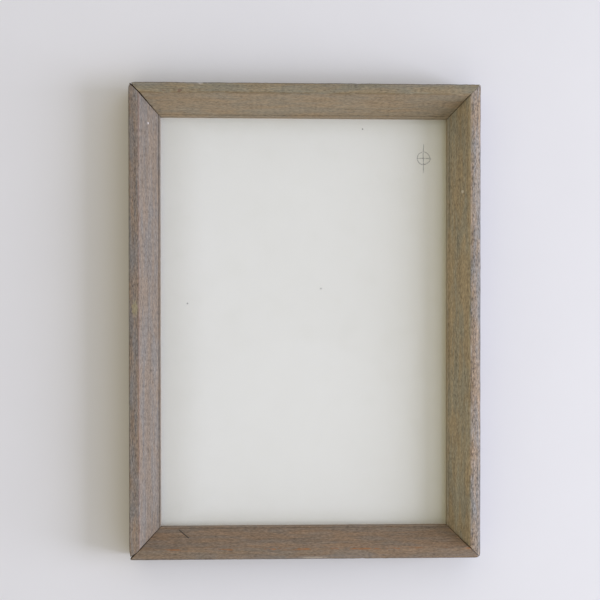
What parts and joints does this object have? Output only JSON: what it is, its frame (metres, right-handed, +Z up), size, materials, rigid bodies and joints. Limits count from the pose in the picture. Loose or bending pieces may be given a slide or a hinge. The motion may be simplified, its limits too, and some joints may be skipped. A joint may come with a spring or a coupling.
{
  "type": "screen printing frame",
  "caption": "Small screen printing frame: mitred, bevelled grey-brown hardwood rails with a pale woven mesh stretched flat under the opening, making a shallow well",
  "frame": {"origin": "middle of the underside, on the plane that the frame rests on when it lies print side down", "axes": "+Z up out of the well towards the squeegee side, +Y along the long rails towards the top rail, +X across the frame towards the right rail"},
  "size_m": [0.2536, 0.3426, 0.0254],
  "materials": {
    "stained_wood": "grey-brown stain, open pored, worn along the edges",
    "dried_glue": "dried wood glue, dark with dirt",
    "nail_steel": "bright steel strip",
    "mesh_fabric": "off-white polyester monofilament, satin",
    "staple_wire": "galvanised wire",
    "gummed_tape": "brown gummed paper tape, matt"
  },
  "bodies": {
    "root": {"rail_left": "stained_wood", "rail_right": "stained_wood", "rail_top": "stained_wood", "rail_bottom": "stained_wood", "mitre_glue_top_left": "dried_glue", "mitre_glue_top_right": "dried_glue", "mitre_glue_bottom_left": "dried_glue", "mitre_glue_bottom_right": "dried_glue", "v_nails_top_left": "nail_steel", "v_nails_top_right": "nail_steel", "v_nails_bottom_left": "nail_steel", "v_nails_bottom_right": "nail_steel", "stencil_mesh": "mesh_fabric", "staples_left": "staple_wire", "staples_right": "staple_wire", "staples_top": "staple_wire", "staples_bottom": "staple_wire", "edge_tape_left": "gummed_tape", "edge_tape_right": "gummed_tape", "edge_tape_top": "gummed_tape", "edge_tape_bottom": "gummed_tape"}
  },
  "joints": []
}
